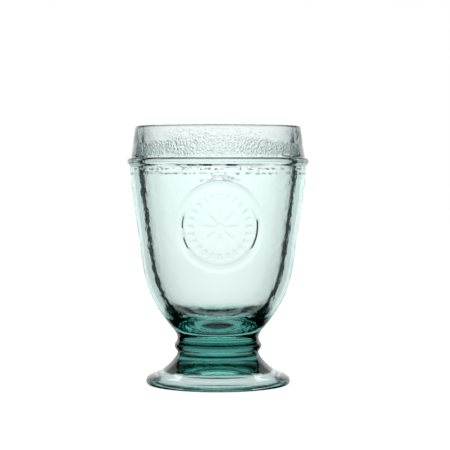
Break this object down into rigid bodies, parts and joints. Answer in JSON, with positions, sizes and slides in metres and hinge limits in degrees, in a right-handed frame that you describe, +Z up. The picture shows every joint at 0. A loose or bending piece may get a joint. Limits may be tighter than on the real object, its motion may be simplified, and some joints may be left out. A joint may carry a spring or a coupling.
{
  "type": "footed glass tumbler",
  "caption": "Footed tumbler of thick pale blue-green glass: tapered bowl with rim band, beaded thread and round seal, ringed neck and flared foot.",
  "frame": {"origin": "centre of the foot's flat resting ring, on the table", "axes": "+Z up the tumbler's axis towards the lip; the round seal faces -Y"},
  "size_m": [0.0908, 0.0908, 0.129],
  "materials": {
    "recycled_glass": "fire-polished pressed glass with faint ripples, pale blue-green, deep teal where it is thick"
  },
  "bodies": {
    "root": {"foot": "recycled_glass", "knop": "recycled_glass", "bowl": "recycled_glass", "rim_thread": "recycled_glass", "seal": "recycled_glass"}
  },
  "joints": []
}
